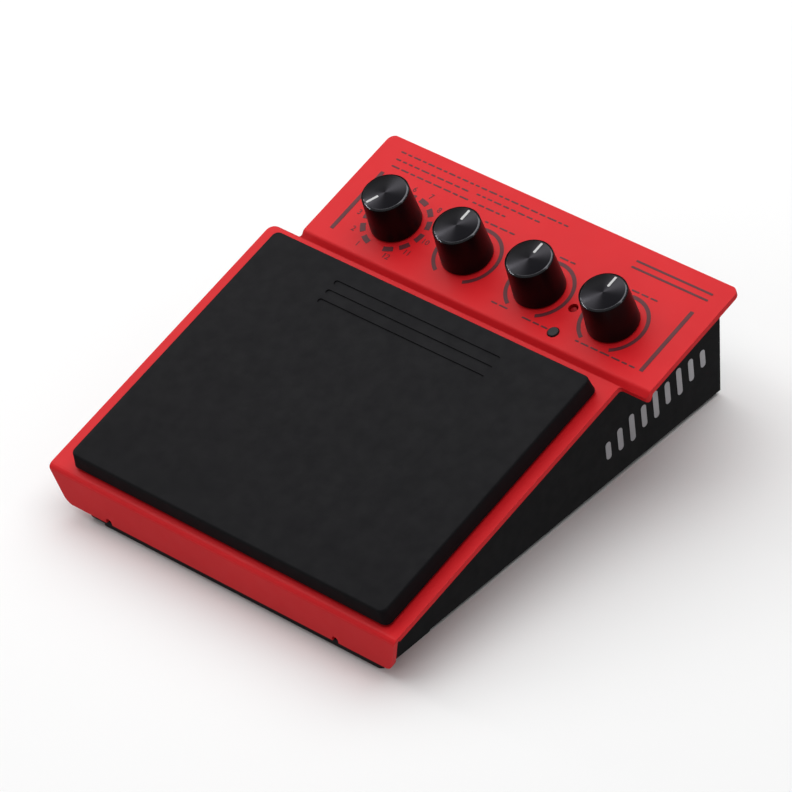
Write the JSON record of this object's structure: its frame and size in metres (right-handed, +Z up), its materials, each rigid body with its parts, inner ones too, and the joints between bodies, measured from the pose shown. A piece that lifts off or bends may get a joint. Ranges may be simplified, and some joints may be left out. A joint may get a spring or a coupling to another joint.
{
  "type": "electronic drum pad",
  "caption": "Compact electronic drum pad: rubber playing surface and a row of knobs on a folded red plate over a black wedge case with rear sockets.",
  "frame": {"origin": "centre of the bounding box at table level", "axes": "+Z up, -Y towards the player, +X to the player's right"},
  "size_m": [0.166, 0.1782, 0.0701],
  "materials": {
    "red_paint": "satin red powder coat",
    "black_shell": "fine matt moulded black",
    "pad_rubber": "matt charcoal rubber",
    "foot_rubber": "matt black rubber",
    "plate_steel": "rolled sheet",
    "sensor_brass": "plain brass disc",
    "foam": "soft dark foam",
    "red_lens": "clear red lens",
    "grey_button": "matt dark grey",
    "black_part": "moulded black",
    "board": "green circuit board",
    "nickel": "bright nickel plate",
    "screw_steel": "zinc-plated steel",
    "cell_wrap": "plain blue sleeve",
    "knob_plastic": "smooth black moulding",
    "spun_metal": "dark spun aluminium disc"
  },
  "bodies": {
    "housing": {"top_plate": "red_paint", "case_shell": "black_shell", "battery_holder": "black_shell", "front_foot": "foot_rubber", "rear_foot_left": "foot_rubber", "rear_foot_right": "foot_rubber", "indicator_lamp": "red_lens", "tact_switch": "black_part", "control_board": "board", "main_board": "board", "power_switch": "black_part", "power_inlet": "black_part", "usb_socket": "nickel", "selector_switch": "black_part", "deck_screw_1": "screw_steel", "board_screw_1": "screw_steel", "battery_cell_1": "cell_wrap", "deck_screw_2": "screw_steel", "board_screw_2": "screw_steel", "battery_cell_2": "cell_wrap", "deck_screw_3": "screw_steel", "board_screw_3": "screw_steel", "battery_cell_3": "cell_wrap", "deck_screw_4": "screw_steel", "board_screw_4": "screw_steel", "battery_cell_4": "cell_wrap", "level_pot_1": "black_part", "level_pot_2": "black_part", "level_pot_3": "black_part", "selector_nut": "nickel", "level_1_nut": "nickel", "level_2_nut": "nickel", "level_3_nut": "nickel", "output_jack_left": "black_part", "output_jack_left_nut": "nickel", "output_jack_right": "black_part", "output_jack_right_nut": "nickel", "trigger_jack": "black_part", "trigger_jack_nut": "nickel", "phones_jack": "black_part", "mix_jack": "black_part"},
    "pad": {"strike_pad": "pad_rubber", "pad_plate": "plate_steel", "sensor_disc": "sensor_brass", "sensor_foam": "foam"},
    "function_key": {"function_button": "grey_button"},
    "power_switch_slider": {"power_slider": "grey_button"},
    "battery_hatch": {"battery_door": "black_shell"},
    "selector_control": {"selector_knob": "knob_plastic", "selector_disc": "spun_metal", "selector_shaft": "screw_steel"},
    "level_1_control": {"level_1_knob": "knob_plastic", "level_1_disc": "spun_metal", "level_1_shaft": "screw_steel"},
    "level_2_control": {"level_2_knob": "knob_plastic", "level_2_disc": "spun_metal", "level_2_shaft": "screw_steel"},
    "level_3_control": {"level_3_knob": "knob_plastic", "level_3_disc": "spun_metal", "level_3_shaft": "screw_steel"}
  },
  "joints": [
    {"name": "pad_press", "type": "slide", "parent": "housing", "child": "pad", "axis": [0, 0.2351, -0.972], "range_m": [0, 0.0005], "stiffness_N_per_m": 30000, "springref_m": -0.0002},
    {"name": "function_press", "type": "slide", "parent": "housing", "child": "function_key", "axis": [0, 0.2351, -0.972], "range_m": [0, 0.0005], "stiffness_N_per_m": 800, "springref_m": -0.0005},
    {"name": "power_slide", "type": "slide", "parent": "housing", "child": "power_switch_slider", "axis": [1, 0, 0], "range_m": [0, 0.004]},
    {"name": "battery_hatch_slide", "type": "slide", "parent": "housing", "child": "battery_hatch", "axis": [0, -1, 0], "range_m": [0, 0.0058]},
    {"name": "selector_turn", "type": "hinge", "parent": "housing", "child": "selector_control", "pos_m": [-0.0417, 0.04057, 0.06832], "axis": [0, -0.2351, 0.972], "range_deg": [-310, 0]},
    {"name": "level_1_turn", "type": "hinge", "parent": "housing", "child": "level_1_control", "pos_m": [-0.0099, 0.04057, 0.06832], "axis": [0, -0.2351, 0.972], "range_deg": [-150, 150]},
    {"name": "level_2_turn", "type": "hinge", "parent": "housing", "child": "level_2_control", "pos_m": [0.0219, 0.04057, 0.06832], "axis": [0, -0.2351, 0.972], "range_deg": [-150, 150]},
    {"name": "level_3_turn", "type": "hinge", "parent": "housing", "child": "level_3_control", "pos_m": [0.0537, 0.04057, 0.06832], "axis": [0, -0.2351, 0.972], "range_deg": [-150, 150]}
  ]
}
